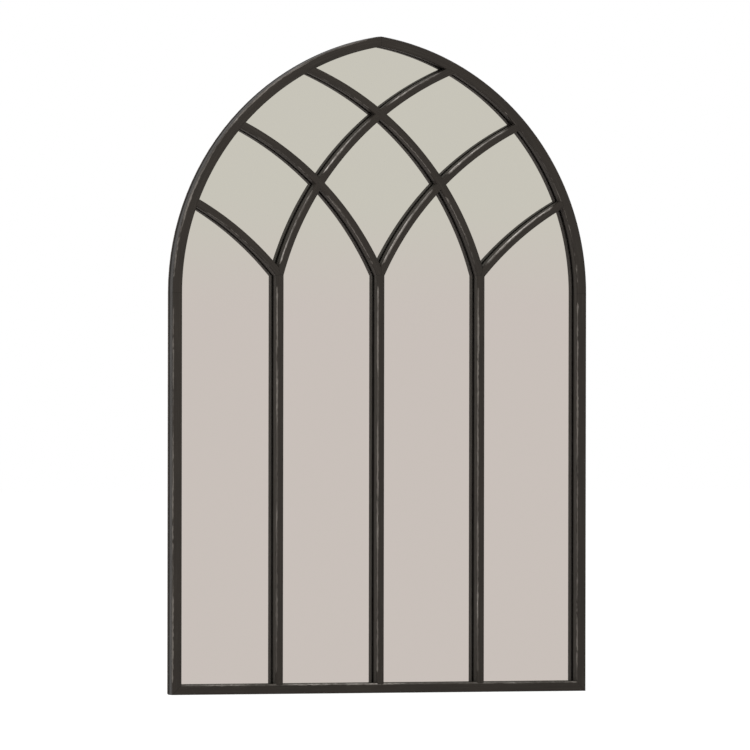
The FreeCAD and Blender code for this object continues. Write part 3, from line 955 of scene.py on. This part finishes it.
# The studio has a pale floor, a soft key lamp above and to the left of the mirror, and white all round.
# What lies before the mirror is a warm grey room, so that the glass shows that and not the white.
ROOM_ABOVE = (0.651, 0.633, 0.563, 1)
ROOM_BELOW = (0.66, 0.602, 0.567, 1)
ROOM_EDGE = (0, 0.012)        # rise of the rays between which the room's two colours meet
ROOM_END = (-0.25, 0.25)      # from before the mirror to behind it, where the room turns white
FILL = (0.55, 0.55, 0.55, 1)
WHITE = (1, 1, 1, 1)
FLOOR_SIZE = 40
FLOOR_BOUNCE = (0.8, 0.8, 0.79, 1)
FLOOR_SHADE = (0.36, 0.36, 0.36, 1)
FLOOR_GLOW = 0.82
KEY_POWER = 90
KEY_SIZE = 1.6
KEY_PLACE = Vector((-1.7, -3.2, 2.5))
KEY_AIM = Vector((0, 0, 0.6))
VIEW_AZIMUTH = math.radians(-19)
VIEW_ELEVATION = math.radians(0.3)
VIEW_ROLL = math.radians(0.1)
VIEW_DISTANCE = 18.0
VIEW_LENS = 507.0
SENSOR = 36
AIM_ACROSS = -0.005           # from the middle of the mirror to the middle of the picture
AIM_UP = -0.0175

world = bpy.data.worlds.new("studio")
bpy.context.scene.world = world
world.use_nodes = True
tree = world.node_tree
ray = add(tree, "LightPath", {})
direction = add(tree, "SeparateXYZ", {}, Vector=add(tree, "TexCoord", {}).outputs["Generated"])
room = blended(tree, between(tree, direction.outputs["Z"], over=ROOM_EDGE, to=(0, 1)), ROOM_BELOW, ROOM_ABOVE)
seen = blended(tree, between(tree, direction.outputs["Y"], over=ROOM_END, to=(0, 1)), room, WHITE)
light = blended(tree, ray.outputs["Is Glossy Ray"], FILL, seen)
plain = calculate(tree, "MAXIMUM", ray.outputs["Is Camera Ray"], ray.outputs["Is Transmission Ray"])
dress(tree, tree.nodes["Background"], Color=blended(tree, plain, light, WHITE))

bpy.ops.object.select_all(action="DESELECT")
bpy.ops.mesh.primitive_plane_add(size=FLOOR_SIZE)
floor = bpy.context.object
floor.name = "floor"
floor.visible_glossy = False
pale, tree, surface = new_material("pale_floor")
tree.nodes.remove(surface)
ray = add(tree, "LightPath", {})
bounce = add(tree, "BsdfDiffuse", {}, Color=FLOOR_BOUNCE)
shadow = add(tree, "BsdfDiffuse", {}, Color=FLOOR_SHADE)
glow = add(tree, "Emission", {}, Color=WHITE, Strength=FLOOR_GLOW)
shown = add(tree, "AddShader", {})
feed(tree, shown.inputs[0], shadow.outputs[0])
feed(tree, shown.inputs[1], glow.outputs[0])
either = add(tree, "MixShader", {})
feed(tree, either.inputs[0], ray.outputs["Is Camera Ray"])
feed(tree, either.inputs[1], bounce.outputs[0])
feed(tree, either.inputs[2], shown.outputs[0])
dress(tree, tree.nodes["Material Output"], Surface=either.outputs[0])
floor.data.materials.append(pale)

bpy.ops.object.light_add(type="AREA", location=KEY_PLACE)
key = bpy.context.object
key.name = "key_lamp"
key.data.energy = KEY_POWER
key.data.size = KEY_SIZE
key.visible_glossy = False
key.rotation_euler = (KEY_PLACE - KEY_AIM).to_track_quat("Z", "Y").to_euler()

away = Vector((math.sin(VIEW_AZIMUTH), -math.cos(VIEW_AZIMUTH), 0)) * math.cos(VIEW_ELEVATION)
away += UP * math.sin(VIEW_ELEVATION)
rightward = Vector((math.cos(VIEW_AZIMUTH), math.sin(VIEW_AZIMUTH), 0))
upward = away.cross(rightward)
aim = UP * apex / 2 + rightward * AIM_ACROSS + upward * AIM_UP
level = Matrix((rightward, upward, away)).transposed().to_4x4()
roll = Matrix.Rotation(VIEW_ROLL, 4, "Z")
bpy.ops.object.camera_add()
camera = bpy.context.object
camera.name = "camera"
camera.data.lens = VIEW_LENS
camera.data.sensor_width = SENSOR
camera.matrix_world = Matrix.Translation(aim + away * VIEW_DISTANCE) @ level @ roll
bpy.context.scene.camera = camera
bpy.context.scene.view_settings.view_transform = "Standard"
